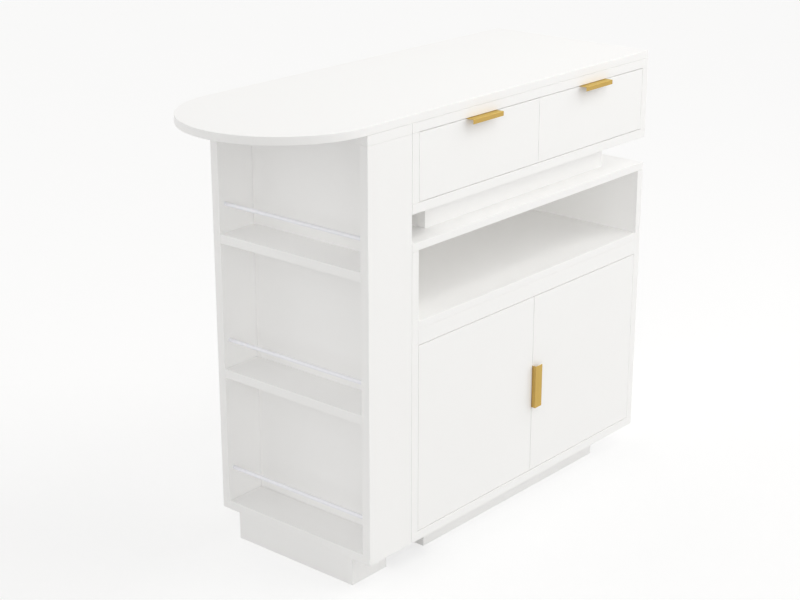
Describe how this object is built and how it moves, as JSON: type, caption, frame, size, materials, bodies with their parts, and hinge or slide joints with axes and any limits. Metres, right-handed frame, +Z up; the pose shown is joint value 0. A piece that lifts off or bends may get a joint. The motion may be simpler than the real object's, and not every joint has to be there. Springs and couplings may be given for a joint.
{
  "type": "bar counter with shelves",
  "caption": "Bar counter: half round overhanging worktop, open shelf tower with guard rails, drawers over a recessed riser, open compartment and a cupboard with doors.",
  "frame": {"origin": "bottom centre of the box round the whole counter, on the floor", "axes": "+X along the counter from the round shelf end to the square end, +Y from the drawer and door fronts to the back, +Z up"},
  "size_m": [1.1, 0.416, 0.916],
  "materials": {
    "white_laminate": "satin white melamine laminate on chipboard, edges banded in the same white",
    "drawer_board": "satin white foil on 12 mm chipboard",
    "white_hardboard": "smooth white lacquered hardboard",
    "gold_aluminium": "gold anodised, satin",
    "pull_screw_steel": "gold passivated steel",
    "rail_steel": "satin stainless steel rod",
    "runner_steel": "bright zinc plated",
    "pin_steel": "turned steel",
    "strike_steel": "nickel plated",
    "screw_steel": "bright zinc plated",
    "magnet": "nickel plated",
    "bush_nylon": "white nylon"
  },
  "bodies": {
    "carcass": {"cabinet_back": "white_laminate", "cabinet_bottom": "white_laminate", "cabinet_door_stop": "white_laminate", "cabinet_left_side": "white_laminate", "cabinet_plinth_ends": "white_laminate", "cabinet_plinth_rails": "white_laminate", "cabinet_right_side": "white_laminate", "cabinet_shelf": "white_laminate", "cabinet_shelf_rail": "white_laminate", "cabinet_top": "white_laminate", "door_bushes": "bush_nylon", "door_magnets": "magnet", "drawer_unit_back": "white_laminate", "drawer_unit_bottom": "white_laminate", "drawer_unit_divider": "white_laminate", "drawer_unit_left_side": "white_laminate", "drawer_unit_right_side": "white_laminate", "drawer_unit_top": "white_laminate", "fixed_runners": "runner_steel", "riser_ends": "white_laminate", "riser_rails": "white_laminate", "tower_back_side": "white_laminate", "tower_floor": "white_laminate", "tower_front_side": "white_laminate", "tower_guard_rail_lower": "rail_steel", "tower_guard_rail_middle": "rail_steel", "tower_guard_rail_upper": "rail_steel", "tower_inner_panel": "white_laminate", "tower_lower_shelf": "white_laminate", "tower_plinth_ends": "white_laminate", "tower_plinth_rails": "white_laminate", "tower_top": "white_laminate", "tower_upper_shelf": "white_laminate", "worktop": "white_laminate", "worktop_screws": "screw_steel"},
    "left_door": {"left_door_panel": "white_laminate", "left_door_pins": "pin_steel", "left_door_strike": "strike_steel"},
    "right_door": {"right_door_panel": "white_laminate", "right_door_pins": "pin_steel", "right_door_pull": "gold_aluminium", "right_door_pull_screws": "pull_screw_steel", "right_door_strike": "strike_steel"},
    "left_middle_runners": {"left_drawer_middle_runners": "runner_steel"},
    "right_middle_runners": {"right_drawer_middle_runners": "runner_steel"},
    "left_drawer": {"left_drawer_back": "drawer_board", "left_drawer_bottom": "white_hardboard", "left_drawer_front": "white_laminate", "left_drawer_inner_runners": "runner_steel", "left_drawer_pull": "gold_aluminium", "left_drawer_pull_screws": "pull_screw_steel", "left_drawer_sides": "drawer_board"},
    "right_drawer": {"right_drawer_back": "drawer_board", "right_drawer_bottom": "white_hardboard", "right_drawer_front": "white_laminate", "right_drawer_inner_runners": "runner_steel", "right_drawer_pull": "gold_aluminium", "right_drawer_pull_screws": "pull_screw_steel", "right_drawer_sides": "drawer_board"}
  },
  "joints": [
    {"name": "left_door_hinge", "type": "hinge", "parent": "carcass", "child": "left_door", "pos_m": [-0.175, -0.1855, 0.27175], "axis": [0, 0, -1], "range_deg": [0, 105]},
    {"name": "right_door_hinge", "type": "hinge", "parent": "carcass", "child": "right_door", "pos_m": [0.498, -0.1855, 0.27175], "axis": [0, 0, 1], "range_deg": [0, 105]},
    {"name": "left_drawer_slide", "type": "slide", "parent": "carcass", "child": "left_drawer", "axis": [0, -1, 0], "range_m": [0, 0.34]},
    {"name": "right_drawer_slide", "type": "slide", "parent": "carcass", "child": "right_drawer", "axis": [0, -1, 0], "range_m": [0, 0.34]},
    {"name": "left_middle_runner_slide", "type": "slide", "parent": "carcass", "child": "left_middle_runners", "axis": [0, -1, 0], "range_m": [0, 0.17]},
    {"name": "right_middle_runner_slide", "type": "slide", "parent": "carcass", "child": "right_middle_runners", "axis": [0, -1, 0], "range_m": [0, 0.17]}
  ],
  "couplings": [
    {"joint": "left_middle_runner_slide", "follows": "left_drawer_slide", "ratio": 0.5},
    {"joint": "right_middle_runner_slide", "follows": "right_drawer_slide", "ratio": 0.5}
  ]
}
